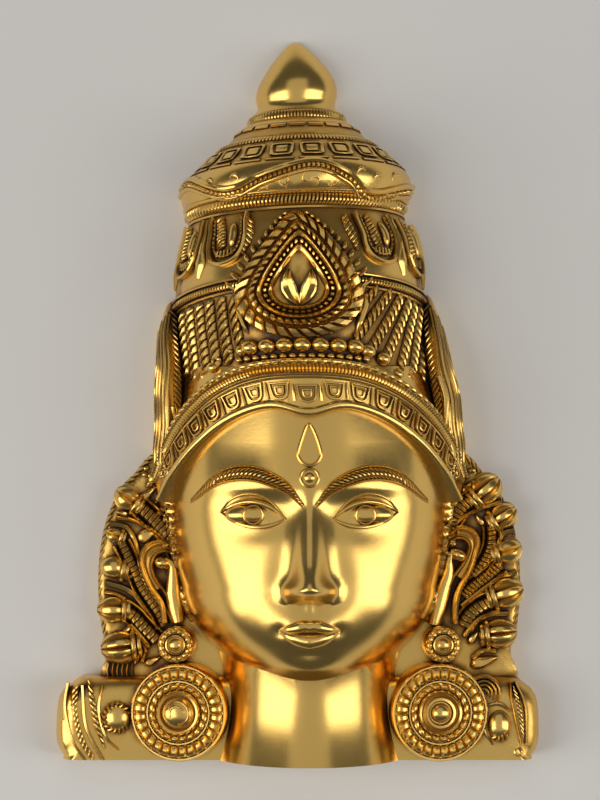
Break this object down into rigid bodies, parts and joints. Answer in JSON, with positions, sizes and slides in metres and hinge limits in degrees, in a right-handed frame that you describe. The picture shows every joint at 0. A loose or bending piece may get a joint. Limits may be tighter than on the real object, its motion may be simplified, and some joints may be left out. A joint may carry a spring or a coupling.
{
  "type": "cast brass goddess mask",
  "caption": "Hollow-backed cast brass mask of a goddess: calm face, tall domed crown with bands and a drop ornament, flower-bud ear ornaments, round earrings and a flat-cut neck.",
  "frame": {"origin": "on the plane that the back rim lies on, under the middle of the mask's outline", "axes": "+Z out of the face, away from the rim; +Y from the neck to the crown's tip; +X to the viewer's right"},
  "size_m": [0.199, 0.2974, 0.0748],
  "materials": {
    "brass": "hand-polished high spots, brown patina in the recesses"
  },
  "bodies": {
    "root": {"mask": "brass"}
  },
  "joints": []
}
